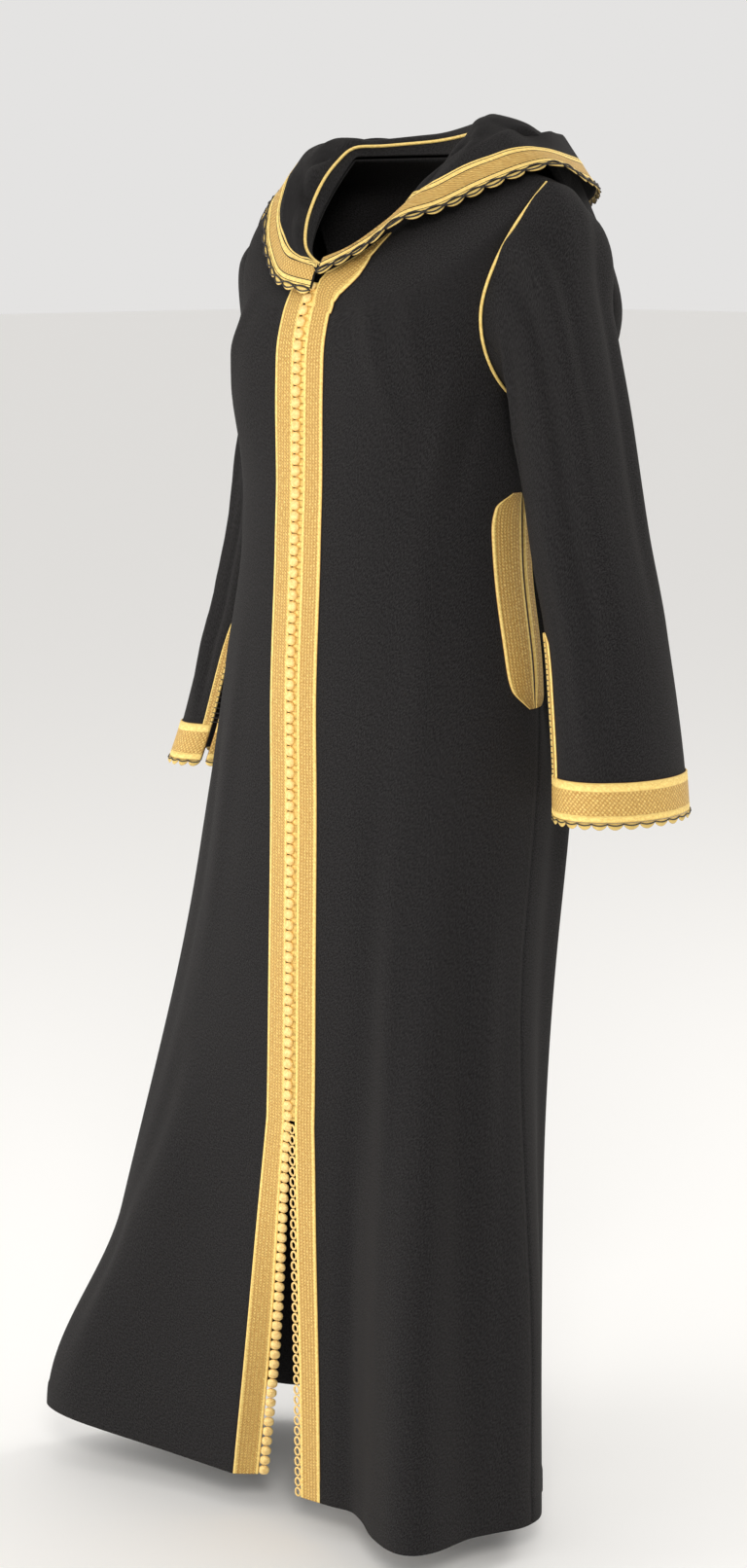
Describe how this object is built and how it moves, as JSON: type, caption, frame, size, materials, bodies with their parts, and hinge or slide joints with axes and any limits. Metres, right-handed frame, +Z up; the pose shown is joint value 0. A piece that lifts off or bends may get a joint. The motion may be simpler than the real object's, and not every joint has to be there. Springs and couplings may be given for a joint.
{
  "type": "hooded kaftan",
  "caption": "Long hooded robe in black crepe with gold braid along the front opening, hood edge, cuffs and pocket slits, hollow as worn.",
  "frame": {"origin": "on the neck axis at the height of the shoulders, which carry the garment", "axes": "+Z up along the worn garment, -Y the way the wearer faces, +X the wearer's left"},
  "size_m": [0.6887, 0.386, 1.3739],
  "materials": {
    "black_crepe": "matte woven crepe",
    "black_crepe_hood": "matte woven crepe, doubled",
    "gold_braid": "satin gold thread braid",
    "gold_knots": "satin gold thread knots and loops",
    "gold_cord": "twisted gold thread cord"
  },
  "bodies": {
    "root": {"back": "black_crepe", "front_left": "black_crepe", "front_right": "black_crepe", "sleeve_left": "black_crepe", "sleeve_right": "black_crepe", "hood": "black_crepe_hood", "hood_band": "gold_braid", "neck_cord": "gold_cord", "knots": "gold_knots", "loops_closed": "gold_knots", "loops_open": "gold_knots", "placket_left": "gold_braid", "placket_right": "gold_braid", "cuff_left": "gold_braid", "cuff_right": "gold_braid", "armhole_cord_left": "gold_cord", "armhole_cord_right": "gold_cord", "pocket_left": "gold_braid", "pocket_right": "gold_braid", "slit_front_left": "gold_braid", "slit_front_right": "gold_braid", "slit_back_left": "gold_braid", "slit_back_right": "gold_braid"}
  },
  "joints": []
}
